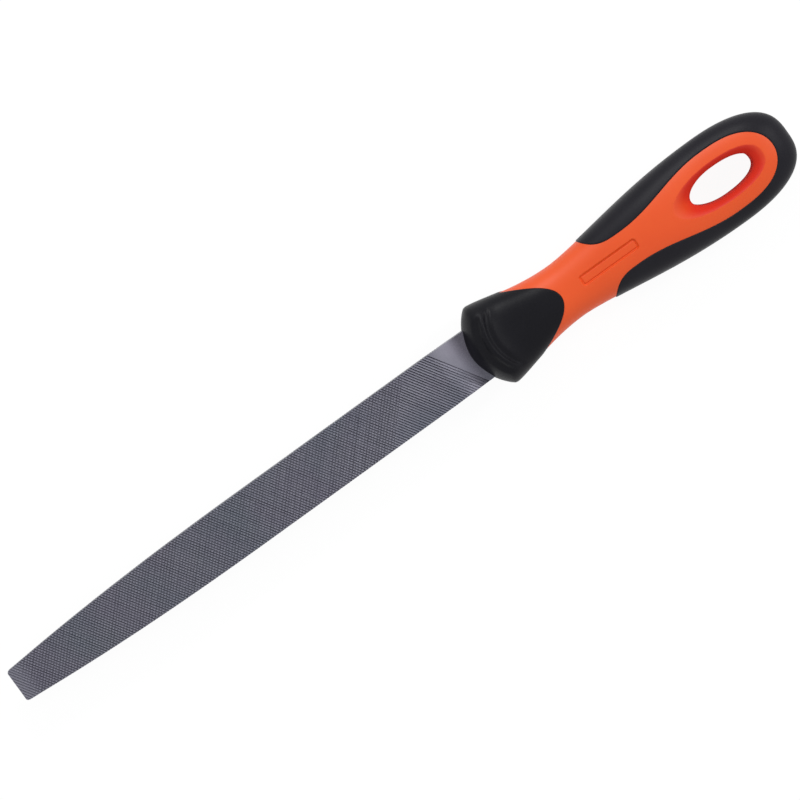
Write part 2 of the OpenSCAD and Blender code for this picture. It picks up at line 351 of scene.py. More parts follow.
def steps_along(d, a, size):
    """How many steps of the wanted size lie between the start of each row of samples and each sample."""
    step = np.linalg.norm(np.diff(skin(d, a), axis=1), axis=-1)
    along = np.cumsum(step / ((size[:, 1:] + size[:, :-1]) / 2), axis=1)
    return np.concatenate([np.zeros((len(d), 1)), along], axis=1)


def spaced(along, count, starts=None, ends=None):
    """Where count points belong in each row of samples, or in the part of it between two places."""
    index = np.arange(along.shape[1])
    starts = np.zeros(len(along)) if starts is None else starts
    ends = np.full(len(along), index[-1]) if ends is None else ends
    return np.array([np.interp(np.linspace(*np.interp([start, end], index, row), count), row, index)
                     for row, start, end in zip(along, starts, ends)])


def taken(places, samples):
    """Reads each row of samples at the given places."""
    index = np.arange(samples.shape[1])
    return np.array([np.interp(place, index, row) for place, row in zip(places, samples)])


def spread(d, a, size, count):
    """Takes count points from each row of samples, as far apart as the size at each place."""
    places = spaced(steps_along(d, a, size), count)
    return taken(places, d), taken(places, a)


def rolled(distance, radius):
    """Depth of a rounded edge at a distance from it."""
    return radius - np.sqrt(np.maximum(0, radius ** 2 - np.maximum(0, radius - distance) ** 2))


# ---------------------------------------------------------------- edges between the covers and the core

def collar_edge_d(a):
    """Where the collar's edge, a parabola in plan, crosses the line at an angle a, found by halving."""
    halvings = 40
    side_y = half_width(np.array(COLLAR_SIDE_AT))
    low, high = np.full(np.shape(a), LIP_AT), np.full(np.shape(a), TONGUE_AT + 1)
    for _ in range(halvings):
        d = (low + high) / 2
        beyond = d > TONGUE_AT - (TONGUE_AT - COLLAR_SIDE_AT) * (across(d, a) / side_y) ** 2
        low, high = np.where(beyond, low, d), np.where(beyond, d, high)
    return (low + high) / 2


def island_half(d):
    """Half the width of the hard face between the rear grip's arms."""
    start_half = half_width(np.array(GRIP_AT))
    front = PINCH_WIDTH / 2 + (start_half - PINCH_WIDTH / 2) \
        * np.clip((PINCH_AT - d) / (PINCH_AT - GRIP_AT), 0, 1) ** ARM_POWER
    middle = PINCH_WIDTH / 2 + (ISLAND_WIDTH - PINCH_WIDTH) / 2 * ease((d - PINCH_AT) / (END_AT - PINCH_AT))
    end = ISLAND_WIDTH / 2 * arc_drop((d - END_AT) / (FLARE_LENGTH - END_BAND), *ISLAND_CLOSING)
    return np.where(d < PINCH_AT, front, np.where(d < END_AT, middle, end))


def island_line(arm_count=500, end_count=200):
    """The d and a of the hard face's edge, from the tip of the grip's arm to the end of the face."""
    arm = GRIP_AT + (END_AT - GRIP_AT) * np.linspace(0, 1, arm_count)[:-1] ** 2
    end = END_AT + (FLARE_LENGTH - END_BAND) * np.sin(np.linspace(0, QUARTER, end_count))
    d = np.concatenate([arm, end])
    return d, plan_angle(d, island_half(d))


def hole_line(count=400):
    """The hole's outline in plan from its front to its rear, on one side of the axis."""
    t = np.linspace(0, math.pi, count)
    front = t < QUARTER
    power = 2 / HOLE_REAR_POWER
    ahead, side = np.abs(np.cos(t)), np.sin(t)
    d = np.where(front, -HOLE_FRONT * ahead, HOLE_REAR * ahead ** power)
    y = HOLE_WIDTH / 2 * np.where(front, side, np.clip(side, 0, 1) ** power)
    y[-1] = 0
    return HOLE_AT + d, y


class Curve:
    """A line on the skin, given by its d and a, that is read by the length along it."""

    def __init__(self, d, a):
        self.d, self.a = d, a
        self.points = skin(d, a)
        self.length = lengths(self.points)

    def at(self, length):
        return np.interp(length, self.length, self.d), np.interp(length, self.length, self.a)

    def length_at(self, d):
        return np.interp(d, self.d, self.length)


edge_angles = np.linspace(0, 1, 400) ** 1.3 * QUARTER       # closer together at the side
collar_edge = Curve(collar_edge_d(edge_angles), edge_angles)
island_edge = Curve(*island_line())
hole_d, hole_y = hole_line()
hole_plan = np.stack([hole_d, hole_y], -1)


# ---------------------------------------------------------------- soft covers

def groove(g, middle, half):
    """1 in the middle of a rounded groove and 0 outside it."""
    return 1 - smoothstep(np.abs(g - middle) / half)


def behind_nose(d, y):
    """How far a place lies behind the nose's outline."""
    return d - nose_front(np.minimum(np.abs(y), LIP_REACH))


def collar_relief(d, y):
    """Two soft hollows on each face that follow the nose's outline, with a rib between them."""
    fade = 1 - smoothstep((np.abs(y) - HOLLOW_REACH) / HOLLOW_FADE)
    behind = behind_nose(d, y)
    return fade * sum(depth * groove(behind, middle, half) for middle, half, depth in HOLLOWS)


def cover_size(to_edge, largest):
    """Size of a cover's mesh, which is fine at the cover's edge."""
    finest, growth = 0.09, 0.35
    return np.clip(finest + growth * to_edge, 0, largest)


def cover(outer, d, a, edge):
    """A whole closed cover from a quarter of its outer side, and a quarter of its inner side.

    The hidden inner side, which the core shares, takes every third row and every fourth column. The
    sides are joined along the first (0) or the last (-1) column, where the cover's edge lies.
    """
    inner = inner_skin(d, a)[::3, ::4]
    shell = Shell()
    shell.grid(outer)
    shell.grid(inner)
    shell.strip(outer[:, edge], inner[:, edge])
    return shell.mirrored(1, 2), inner


def make_collar():
    rows, samples = 46, 400
    band_from, band_to = 3.2, 12                # the hollows' band, behind the nose's outline
    columns_before, columns_on, columns_past = 18, 37, 52
    band = np.linspace(band_from, band_to, columns_on)
    a = np.linspace(0, QUARTER, rows)[:, None]
    d = collar_edge_d(a) * np.linspace(0, 1, samples) ** 1.6            # closer together at the nose
    a = np.broadcast_to(a, d.shape)
    outer = skin(d, a)
    along = steps_along(d, a, cover_size(distance_to(collar_edge.points, outer), 0.5))
    on_band = np.array([np.interp(band, row, np.arange(samples))
                        for row in behind_nose(d, outer[..., 1])])
    before = spaced(along, columns_before, ends=on_band[:, 0])
    past = spaced(along, columns_past, starts=on_band[:, -1])
    places = np.concatenate([before[:, :-1], on_band, past[:, 1:]], axis=1)
    d, a = taken(places, d), taken(places, a)
    outer = skin(d, a)
    to_edge = distance_to(collar_edge.points, outer)
    to_edge[:, -1] = 0
    depth = rolled(to_edge, COVER_EDGE) + collar_relief(d, outer[..., 1])
    return cover(outer - depth[..., None] * skin_normal(d, a), d, a, edge=-1)


def make_grip():
    rows, columns, samples = 33, 163, 300
    edge_keys = [GRIP_AT, 56.5, 70, END_AT]             # columns start at these places on the edge
    side_keys = [GRIP_AT, 61, 75, END_AT + 1]           # and end at these places on the side
    side_count = 400
    side_d = np.concatenate([np.linspace(GRIP_AT, END_AT, side_count)[:-1],
                             END_AT + FLARE_LENGTH * np.sin(np.linspace(0, QUARTER, side_count))])
    side = Curve(side_d, np.zeros(len(side_d)))
    along_side = side.length[-1] * np.linspace(0, 1, columns)
    along_edge = np.interp(along_side, np.append(side.length_at(side_keys), side.length[-1]),
                           np.append(island_edge.length_at(edge_keys), island_edge.length[-1]))
    edge_d, edge_a = island_edge.at(along_edge)
    side_d, _ = side.at(along_side)
    edge_y, side_y = across(edge_d, edge_a), half_width(side_d)
    t = 1 - (1 - np.linspace(0, 1, samples)) ** 2.4                     # closer together at the side
    d = edge_d[:, None] + (side_d - edge_d)[:, None] * t
    a = plan_angle(d, edge_y[:, None] + (side_y - edge_y)[:, None] * t)
    a[:, -1] = 0
    a[:, 0] = edge_a
    a[-1] = QUARTER
    d, a = spread(d, a, cover_size(distance_to(island_edge.points, skin(d, a)), 0.75), rows)
    outer = skin(d, a)
    to_edge = distance_to(island_edge.points, outer)
    to_edge[:, 0] = 0
    return cover(outer - rolled(to_edge, COVER_EDGE)[..., None] * skin_normal(d, a), d, a, edge=0)


# ---------------------------------------------------------------- hard core

def egg_radius(d, y, front, rear, half):
    """Distance from the middle of an egg, 1 on its outline."""
    x = d - HOLE_AT
    before = np.sqrt((x / front) ** 2 + (y / half) ** 2)
    power = HOLE_REAR_POWER
    behind = (np.abs(x / rear) ** power + np.abs(y / half) ** power) ** (1 / power)
    return np.where(x < 0, before, behind)


def into_dish(d, y):
    """0 outside the dish round the hole and 1 at the hole."""
    from_hole = np.maximum(0, egg_radius(d, y, HOLE_FRONT, HOLE_REAR, HOLE_WIDTH / 2) - 1)
    to_outline = np.maximum(0, 1 - egg_radius(d, y, HOLE_FRONT + DISH_FRONT, HOLE_REAR + DISH_REAR,
                                              HOLE_WIDTH / 2 + DISH_SIDE))
    return to_outline / (to_outline + from_hole + 1e-9)


def dish_drop(d, y):
    """How far the dish lies below the face."""
    return DISH_DEPTH * into_dish(d, y) ** DISH_POWER


def dish_painted_shade(d, y):
    """0 on the plain face and 1 where the dish is steep or turns into the hole: the mask of the painted
    shade there.
    """
    step, steepest, wall_from, wall_over = 0.05, 0.8, 0.7, 0.3
    along = dish_drop(d + step, y) - dish_drop(d - step, y)
    sideways = dish_drop(d, y + step) - dish_drop(d, y - step)
    steep = np.hypot(along, sideways) / (2 * step)
    return np.maximum(smoothstep(steep / steepest), smoothstep((into_dish(d, y) - wall_from) / wall_over))


def label_drop(d, y):
    """Depth of the label's bare recess and of the line inside its rounded outline."""
    x = np.abs(d - LABEL_AT - LABEL_LENGTH / 2) - LABEL_LENGTH / 2 + LABEL_CORNER
    y = np.abs(y) - LABEL_WIDTH / 2 + LABEL_CORNER
    past_corner = np.hypot(np.maximum(x, 0), np.maximum(y, 0))
    outside = past_corner + np.minimum(np.maximum(x, y), 0) - LABEL_CORNER
    line = LABEL_LINE_DEPTH * groove(outside, -LABEL_LINE_HALF, LABEL_LINE_HALF)
    return LABEL_DEPTH * smoothstep(0.5 - outside / LABEL_SLOPE) + line


def core_columns():
    """Pairs of points on the hard face's outer and inner boundary that its columns join."""
    columns, side_count, centre_count = 211, 200, 400
    side_d = np.linspace(COLLAR_SIDE_AT, GRIP_AT, side_count)[:-1]
    outside = Curve(np.append(side_d, island_edge.d), np.append(0 * side_d, island_edge.a))
    centre_d = np.linspace(TONGUE_AT, HOLE_AT - HOLE_FRONT, centre_count)[:-1]
    inside = Curve(np.append(centre_d, hole_d),
                   np.append(np.full(len(centre_d), QUARTER), plan_angle(hole_d, hole_y)))
    hole_start, inside_end = inside.length[len(centre_d)], inside.length[-1]

    # the mesh's size along the axis and then along the hole: fine across the label's two ends
    fine, medium, coarse, at_hole, past_hole = 0.11, 0.5, 0.6, 0.16, 0.4
    keys = [(TONGUE_AT, coarse), (LABEL_AT - 1.5, medium), (LABEL_AT - 0.3, fine), (LABEL_AT + 0.9, fine),
            (LABEL_AT + 3, coarse), (LABEL_END - 3, coarse), (LABEL_END - 0.9, fine),
            (LABEL_END + 0.3, fine), (LABEL_END + 2, coarse),
            (HOLE_AT - HOLE_FRONT - DISH_FRONT - 1, coarse)]
    size_keys = np.append(inside.length_at([d for d, _ in keys]), [hole_start, hole_start + 4, inside_end])
    sizes = [size for _, size in keys] + [at_hole, past_hole, past_hole]
    size = np.interp(inside.length, size_keys, sizes)
    step = np.append(0, np.cumsum(np.diff(inside.length) / size[1:]))
    along = np.interp(np.linspace(0, step[-1], columns), step, inside.length)
    along[np.abs(along - hole_start).argmin()] = hole_start

    # places on the axis and along the hole, and those on the covers' edges that columns join them to
    on_axis, along_hole = [46, 72, 86], np.array([0.22, 0.47])
    on_edges = [COLLAR_SIDE_AT, 38, 68, 77, 84.5, 94.5, 106]
    beside_hole = hole_start + (inside_end - hole_start) * along_hole
    inside_keys = np.concatenate([[0], inside.length_at(on_axis), [hole_start], beside_hole, [inside_end]])
    outside_keys = np.append(outside.length_at(on_edges), outside.length[-1])
    outer_along, arm_tip = np.interp(along, inside_keys, outside_keys), outside.length[len(side_d)]
    outer_along[np.abs(outer_along - arm_tip).argmin()] = arm_tip
    return inside.at(along), outside.at(outer_along), along / hole_start


def core_rows(d, a, top_d):
    """Where the hard face's rows belong: straight beside the label, evenly spaced round the hole."""
    fine, coarse, from_cover, from_hole = 0.14, 0.7, 0.3, 0.22      # sizes, and how fast they grow
    place = skin(d, a)
    y = place[..., 1]
    to_cover = np.linalg.norm(place - place[:, :1], axis=-1)
    to_hole = distance_to(hole_plan, np.stack([d, y], -1))
    size = np.minimum(fine + from_cover * to_cover, np.minimum(fine + from_hole * to_hole, coarse))
    along = steps_along(d, a, size)
    even = spaced(along, CORE_ROWS)

    # the rows beside the label keep to the same y, closest together at its edge
    margin, samples, finest, growth, edge_in, edge_half = 1.4, 300, 0.09, 0.3, 0.2, 0.4
    beside = np.linspace(0, LABEL_WIDTH / 2 + margin, samples)
    from_edge = np.maximum(0, np.abs(beside - LABEL_WIDTH / 2 + edge_in) - edge_half)
    step = np.append(0, np.cumsum(np.diff(beside) / (finest + growth * from_edge)[1:]))
    beside = np.interp(np.linspace(step[-1], 0, LABEL_ROWS), step, beside)
    near = np.array([np.interp(-beside, -row, np.arange(len(row))) for row in y])
    far = spaced(along, CORE_ROWS - LABEL_ROWS + 1, ends=near[:, 0])
    blend_after, blend_over = 1.5, 10
    past_label = smoothstep((top_d - LABEL_END - blend_after) / blend_over)[:, None]
    return (1 - past_label) * np.concatenate([far[:, :-1], near], axis=1) + past_label * even


def core_face(d, a, labelled):
    """The bare face, a little below the skin, with its dish and the hole's rounded rim."""
    face = skin(d, a)
    y = face[..., 1]
    normal = skin_normal(d, a)
    face = face - COVER_STEP * normal
    face[..., 2] -= dish_drop(d, y) + rolled(distance_to(hole_plan, np.stack([d, y], -1)), RIM_RADIUS)
    if labelled:
        face = face - label_drop(d, y)[..., None] * normal
    return face


def make_core(collar_inner, grip_inner):
    """The core fills the two covers' inner sides. The first columns bend to follow the collar's edge."""
    samples, wall_points, bend_share = 240, 7, 0.15
    (top_d, top_a), (low_d, low_a), share = core_columns()              # share is 1 at the hole's front
    t = np.linspace(0, 1, samples)
    d = low_d[:, None] + (top_d - low_d)[:, None] * smoothstep(t ** 1.75)
    a = low_a[:, None] + (top_a - low_a)[:, None] * t
    bend = (1 - smoothstep(share / bend_share))[:, None]
    d = d + bend * (collar_edge_d(t * QUARTER) - d[0])
    at_hole = share >= 1
    a[~at_hole, -1] = QUARTER
    places = core_rows(d, a, top_d)
    d, a = taken(places, d), taken(places, a)
    arm_tip = int(np.argmax(low_a > 0)) - 1
    down = np.linspace(1, 0, wall_points)[:, None]
    whole = Shell()
    for sign, labelled in ((1, True), (-1, False)):
        face = core_face(d, a, labelled)
        rim = face[at_hole, -1]
        shell = Shell()
        shell.grid(face)
        shell.grid(collar_inner)
        shell.grid(grip_inner)
        shell.strip(face[0], collar_inner[:, -1])
        shell.strip(face[arm_tip:, 0], grip_inner[:, 0])
        shell.grid(rim[:, None] * np.array([1, 1, 0]) + rim[:, None] * np.array([0, 0, 1]) * down)
        whole.add_shell(shell.mirrored(1), [1, 1, sign])
    return whole


# ---------------------------------------------------------------- blade

def tapered(full, tip, x):
    """Half a size that shrinks from the parallel part to the tip."""
    gone = np.clip((tip_x + TAPER_LENGTH - x) / TAPER_LENGTH, 0, None) ** BELLY
    return (full - (full - tip) * gone) / 2


def loft(sections):
    """A closed solid through rectangles, each given as x, four y values and a half height."""
    rings = np.array([[(x, y[0], z), (x, y[1], z), (x, y[2], -z), (x, y[3], -z)]
                      for x, y, z in sections])
    shell = Shell()
    shell.grid(np.concatenate([rings, rings[:, :1]], axis=1))
    for ring in (rings[0], rings[-1][::-1]):
        shell.add(ring, [[0, 1, 2, 3]])
    return shell


def tang_sections(gap=0.0):
    """The heel behind the handle's nose, its shoulders and the tang."""
    tang_end, shoulder_points = heel_x + TANG_LENGTH, 9

    def half_z(x):
        share = (x - nose_x) / (tang_end - nose_x)
        return (BLADE_THICKNESS + (TANG_TIP_THICKNESS - BLADE_THICKNESS) * share) / 2 + gap

    outline = [(tang_root_x + gap, HEEL_WIDTH / 2 + gap)]
    for turn in np.linspace(0, QUARTER, shoulder_points):
        r = SHOULDER_RADIUS - gap
        outline.append((tang_root_x + SHOULDER_RADIUS - r * math.cos(turn),
                        TANG_WIDTH / 2 + SHOULDER_RADIUS - r * math.sin(turn)))
    outline.append((tang_end + gap, TANG_TIP_WIDTH / 2 + gap))
    return [(x, (y, -y, -y, y), half_z(x)) for x, y in outline]


def steel_room():
    """The room that the handle leaves for the heel and the tang."""
    half, open_front = HEEL_WIDTH / 2 + FIT_CLEARANCE, 3
    front = [(x, (half, -half, -half, half), BLADE_THICKNESS / 2 + FIT_CLEARANCE)
             for x in (nose_x - open_front, nose_x)]
    return loft(front + tang_sections(FIT_CLEARANCE)).mesh("steel_room")


def blade_stock():
    """The blade's outline with its finely cut edges, taller than the blade: the faces are cut later."""
    tall, hidden = BLADE_THICKNESS / 2 + 1, BLADE_THICKNESS / 2 - 0.03
    corner_points, past_corner = 7, 0.3
    corner = [(tip_x + TIP_CORNER * (1 - math.cos(t)), TIP_WIDTH / 2 - TIP_CORNER * (1 - math.sin(t)))
              for t in np.linspace(0, QUARTER, corner_points)]
    sections = [(x, (y, -y, -y, y), tall) for x, y in corner]
    saw = np.array([0.0, 0.9, 0.6, 0.3])        # how deep the edge is cut at each step along a tooth
    shifts = (0, 1, 3, 2)                       # of the teeth on the four long edges
    teeth_x = np.arange(tip_x + TIP_CORNER + past_corner, nose_x, EDGE_PITCH / len(saw))
    places = [(x, tall) for x in teeth_x] + [(heel_x + 1, tall), (heel_x + 1.5, hidden)]
    for i, (x, height) in enumerate(places):
        narrowed = np.clip(1 - (heel_x - x) / HEEL_TAPER, 0, 1)
        half = float(tapered(BLADE_WIDTH, TIP_WIDTH, x)) - (BLADE_WIDTH - HEEL_WIDTH) / 2 * narrowed
        off_heel, off_tip = smoothstep((heel_x - 9 - x) / 3), smoothstep((x - tip_x - 1) / 6)
        cut = EDGE_DEPTH * float(off_heel * off_tip)
        y = [half - cut * saw[(i + shift) % len(saw)] for shift in shifts]
        sections.append((x, (y[0], -y[1], -y[2], y[3]), height))
    return loft(sections + tang_sections()).mesh("cut_blade", smooth=False)


def with_plain_lines(lines, depths, last, spacing, reach):
    """A row's lines and depths from the tip on, with uncut lines added behind the last tooth."""
    lines, depths = np.stack(lines, -1).reshape(-1), np.stack(depths, -1).reshape(-1)
    plain = np.arange(reach, 0, -spacing)
    return np.append(last + plain, lines)[::-1], np.append(np.zeros(len(plain)), depths)[::-1]


def upcut_row(rng, last):
    """Places and depths of the first row's lines: each tooth's crest and the bottom of its gullet."""
    count = int((BLADE_LENGTH + BLADE_WIDTH) / UPCUT_PITCH)
    crest = last - UPCUT_PITCH * (np.arange(count) + rng.uniform(-PITCH_JITTER, PITCH_JITTER, count))
    gullet = crest - GULLET_SHARE * UPCUT_PITCH
    worn = rng.uniform(0, 0.03, count)
    struck = UPCUT_DEPTH * rng.uniform(0.9, 1.05, count)
    return with_plain_lines([crest, gullet], [worn, struck], last, spacing=8.0, reach=80)


def overcut_row(rng, last):
    """Places and depths of the crossing row's lines: the two sides and the bottom of each groove."""
    count = int((BLADE_LENGTH + BLADE_WIDTH - OVERCUT_END) / OVERCUT_PITCH) + 4
    jitter = rng.uniform(-PITCH_JITTER, PITCH_JITTER, count)
    middle = last - OVERCUT_PITCH * (np.arange(count) + 0.5 + jitter)
    half = GROOVE_SHARE * OVERCUT_PITCH
    struck = OVERCUT_DEPTH * rng.uniform(0.85, 1.1, count)
    return with_plain_lines([middle + half, middle, middle - half], [0 * struck, struck, 0 * struck],
                            last, spacing=3.0, reach=120)


def block_under(x, y, z, inside):
    """Points and faces of a closed block below the part of a sheet of points that is marked inside."""
    keep = inside[:-1, :-1] | inside[1:, :-1] | inside[1:, 1:] | inside[:-1, 1:]
    for row in keep:                            # each row of cells stays one stretch
        marked = np.flatnonzero(row)
        if len(marked):
            row[marked[0]:marked[-1] + 1] = True
    top = quads(np.arange(x.size).reshape(x.shape))[keep]
    edges = np.concatenate([top[:, [k, (k + 1) % 4]] for k in range(4)])
    there, back = edges[:, 0] * x.size + edges[:, 1], edges[:, 1] * x.size + edges[:, 0]
    rim = edges[~np.isin(there, back)]          # no neighbour runs along these the other way
    floor = -BLADE_THICKNESS - 1
    points = np.concatenate([np.stack([x, y, height], -1).reshape(-1, 3)
                             for height in (z, np.full(x.shape, floor))])
    walls = np.stack([rim[:, 1], rim[:, 0], rim[:, 0] + x.size, rim[:, 1] + x.size], -1)
    faces = np.concatenate([top, top[:, ::-1] + x.size, walls])
    used = np.unique(faces)
    return points[used], np.searchsorted(used, faces)


def face_block(rng):
    """Everything below the blade's upper face, with its two crossing rows of teeth."""
    rake, lean = math.radians(90 - UPCUT_ANGLE), math.radians(90 - OVERCUT_ANGLE)
    up = np.array([math.cos(rake), math.sin(rake)])
    over = np.array([math.cos(lean), -math.sin(lean)])
    last_up, last_over = -UPCUT_END * up[0], -OVERCUT_END * over[0]
    p, up_depth = upcut_row(rng, last_up)
    q, over_depth = overcut_row(rng, last_over)

    solve = np.linalg.inv(np.array([up, over]))
    grid_p, grid_q = np.meshgrid(p, q, indexing="ij")
    x = heel_x + solve[0, 0] * grid_p + solve[0, 1] * grid_q
    y = solve[1, 0] * grid_p + solve[1, 1] * grid_q
    up_fade = 0.6 + 0.4 * smoothstep((x - tip_x) / 10)          # both rows get shallower at the tip
    over_fade = smoothstep((x - tip_x - 1) / 6)
    cut = np.maximum(up_fade * up_depth[:, None], over_fade * over_depth[None, :])
    cut[grid_p >= last_up - 1e-6] = 0
    z = tapered(BLADE_THICKNESS, TIP_THICKNESS, x) - cut
    beside, ahead, behind = 0.3, 0.5, 3         # how far the block reaches past the steel
    on_length = (x > tip_x - ahead) & (x < heel_x + TANG_LENGTH + behind)
    return block_under(x, y, z, on_length & (np.abs(y) < BLADE_WIDTH / 2 + beside))


def make_blade():
    """Each face is cut by a block of its own, so that the two faces' teeth differ a little."""
    rng = np.random.default_rng(seed=7)
    blade = blade_stock()
    for turned in (1, -1):
        points, faces = face_block(rng)
        cutter = Shell()
        cutter.add(points * [1, turned, turned], faces)
        boolean(blade, "INTERSECT", cutter.mesh("face_block", smooth=False))
    mark(blade.data, "cut_depth", lambda x, y, z: tapered(BLADE_THICKNESS, TIP_THICKNESS, x) - np.abs(z))
    blade.data.shade_flat()
    return blade


# ---------------------------------------------------------------- materials

class Nodes:
    """The node tree of a material or a world, with short ways to add and join nodes."""

    def __init__(self, owner):
        owner.use_nodes = True
        self.owner, self.tree = owner, owner.node_tree

    def add(self, kind, inputs=None, **settings):
        node = self.tree.nodes.new(kind)
        for name, value in settings.items():
            setattr(node, name, value)
        for name, value in (inputs or {}).items():
            self.put(node.inputs[name], value)
        return node

    def put(self, socket, value):
        if isinstance(value, bpy.types.NodeSocket):
            self.tree.links.new(value, socket)
        else:
            socket.default_value = value


class Material(Nodes):
    """A material with its main shader. Noise is scaled to metres, in the object's own axes."""

    def __init__(self, name):
        super().__init__(bpy.data.materials.new(name))
        self.shader = next(n for n in self.tree.nodes if n.type == "BSDF_PRINCIPLED")
        self.place = self.add("ShaderNodeTexCoord").outputs["Object"]

    def set(self, **inputs):
        for name, value in inputs.items():
            self.put(self.shader.inputs[name.replace("_", " ")], value)

    def attribute(self, name):
        return self.add("ShaderNodeAttribute", attribute_name=name).outputs["Fac"]

    def noise(self, scale, detail, roughness, vector=None):
        inputs = {"Vector": vector or self.place, "Scale": scale, "Detail": detail, "Roughness": roughness}
        return self.add("ShaderNodeTexNoise", inputs).outputs["Fac"]

    def range(self, value, low, high, to_low=0.0, to_high=1.0):
        inputs = {"Value": value, "From Min": low, "From Max": high, "To Min": to_low, "To Max": to_high}
        return self.add("ShaderNodeMapRange", inputs).outputs["Result"]

    def ramp(self, value, stops):
        node = self.add("ShaderNodeValToRGB", {"Fac": value})
        first, last = node.color_ramp.elements
        first.position, last.position = stops[0][0], stops[-1][0]
        for position, _ in stops[1:-1]:
            node.color_ramp.elements.new(position)
        for element, (_, colour) in zip(node.color_ramp.elements, stops):
            element.color = (*colour, 1)
        return node.outputs["Color"]

    def mix(self, share, a, b):
        node = self.add("ShaderNodeMix", data_type="RGBA")
        self.put(node.inputs["Factor"], share)
        colours = [s for s in node.inputs if s.type == "RGBA"]
        for socket, value in zip(colours, (a, b)):
            self.put(socket, value if isinstance(value, bpy.types.NodeSocket) else (*value, 1))
        return next(s for s in node.outputs if s.type == "RGBA")

    def bump(self, height, distance, strength):
        inputs = {"Height": height, "Distance": distance, "Strength": strength}
        return self.add("ShaderNodeBump", inputs).outputs["Normal"]


def rgb(red, green, blue):
    """A colour as it looks on screen (sRGB, 0 to 255) as the linear one that a shader takes."""
    return tuple(c / 255 / 12.92 if c <= 10 else ((c / 255 + 0.055) / 1.055) ** 2.4
                 for c in (red, green, blue))


def steel_material():
    """Hardened steel: lighter on the teeth's crests than in the gullets, and ground bare on the heel, which
    painted shade and a painted reflection of the collar darken towards the handle.
    """
    m = Material("hardened_steel")
    deepest = 0.4
    worn = m.ramp(m.range(m.attribute("cut_depth"), 0.0, deepest),
                  [(0.0, rgb(130, 130, 141)), (0.35, rgb(94, 95, 105)), (1.0, rgb(54, 54, 63))])
    along = m.add("ShaderNodeSeparateXYZ", {"Vector": m.place}).outputs["X"]
    near_handle = m.range(along, (heel_x - 9) * MM, nose_x * MM)
    # painted shade and painted reflection of the collar: the bare heel is light at first and darkens
    # towards the handle's nose
    ground_heel_and_painted_shade = m.ramp(near_handle, [(0.0, rgb(152, 150, 162)), (0.35, rgb(142, 140, 152)),
                                  (0.8, rgb(100, 98, 108)), (1.0, rgb(80, 78, 87))])
    on_heel = m.range(along, (heel_x - 14) * MM, (heel_x - 7) * MM)
    colour = m.mix(on_heel, worn, ground_heel_and_painted_shade)
    cloud, haze = m.noise(60, 4, 0.6), m.noise(34, 3, 0.5)
    colour = m.mix(m.range(cloud, 0.3, 0.7, 0.0, 0.35), colour, rgb(82, 76, 94))
    colour = m.mix(m.range(haze, 0.45, 0.7, 0.0, 0.35), colour, rgb(72, 86, 94))
    grain = m.noise(2400, 2, 0.6)
    colour = m.mix(m.range(grain, 0.35, 0.75, 0.0, 0.18), colour, rgb(168, 166, 172))
    lengthwise = m.add("ShaderNodeMapping", {"Vector": m.place, "Scale": (0.06, 1.0, 1.0)})
    scratch = m.noise(900, 2, 0.6, lengthwise.outputs["Vector"])
    m.set(Base_Color=colour, Metallic=1.0, Roughness=m.range(cloud, 0.3, 0.7, 0.36, 0.5),
          Normal=m.bump(scratch, 0.00002, 0.6))
    return m.owner


def plastic_material():
    """Satin orange plastic, duller in the dish and the hole, where painted shade turns it a deeper red."""
    m = Material("orange_plastic")
    cloud = m.noise(45, 3, 0.5)
    colour = m.mix(m.range(cloud, 0.3, 0.7), rgb(228, 78, 16), rgb(233, 84, 22))
    deep, shade = m.attribute("into_dish"), m.attribute("dish_painted_shade")
    # painted shade and painted reflection of the orange walls: a deeper red where the dish is steep or
    # turns into the hole
    colour = m.mix(m.range(shade, 0.0, 1.0, 0.0, 0.87), colour, rgb(212, 30, 14))
    satin = m.range(cloud, 0.3, 0.7, 0.44, 0.52)
    duller = m.range(deep, 0.0, 0.5, 0.0, 0.5)
    rough = m.add("ShaderNodeMath", {0: satin, 1: duller}, operation="ADD").outputs[0]
    fine = m.noise(5200, 2, 0.5)
    m.set(Base_Color=colour, Roughness=rough, IOR=1.5, Specular_IOR_Level=0.45,
          Subsurface_Weight=0.04, Subsurface_Scale=0.002, Normal=m.bump(fine, 0.00002, 0.5))
    return m.owner


def rubber_material(name, dark, light):
    """Soft black moulding with fine pores, some of them dusty."""
    m = Material(name)
    cloud = m.noise(70, 3, 0.55)
    pores = m.noise(3600, 3, 0.65)
    colour = m.mix(m.range(cloud, 0.3, 0.7), dark, light)
    dust = m.mix(m.range(pores, 0.5, 0.75, 0.0, 0.12), colour, rgb(70, 69, 76))
    m.set(Base_Color=dust, Roughness=m.range(pores, 0.3, 0.7, 0.34, 0.46), IOR=1.5,
          Specular_IOR_Level=0.13, Normal=m.bump(pores, 0.00006, 0.7))
    return m.owner


# ---------------------------------------------------------------- the object

def finish_piece(piece, node, material):
    """Gives a piece its material and lets it stand for its CAD node."""
    piece.data.materials.clear()
    piece.data.materials.append(material)
    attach(piece, "root")
    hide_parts(node)


blade = make_blade()
collar_shell, collar_inner = make_collar()
grip_shell, grip_inner = make_grip()
core = make_core(collar_inner, grip_inner).mesh("moulded_core")
collar = collar_shell.mesh("thumb_collar")
grip = grip_shell.mesh("soft_grip")
for piece in (collar, core):
    boolean(piece, "DIFFERENCE", steel_room())
mark(core.data, "into_dish", lambda x, y, z: into_dish(x - nose_x, y))
mark(core.data, "dish_painted_shade", lambda x, y, z: dish_painted_shade(x - nose_x, y))
sharp_angle = math.radians(55)
for piece in (collar, core, grip):
    piece.data.shade_smooth()
    piece.data.set_sharp_from_angle(angle=sharp_angle)

finish_piece(blade, "file_blade", steel_material())
finish_piece(core, "handle_core", plastic_material())
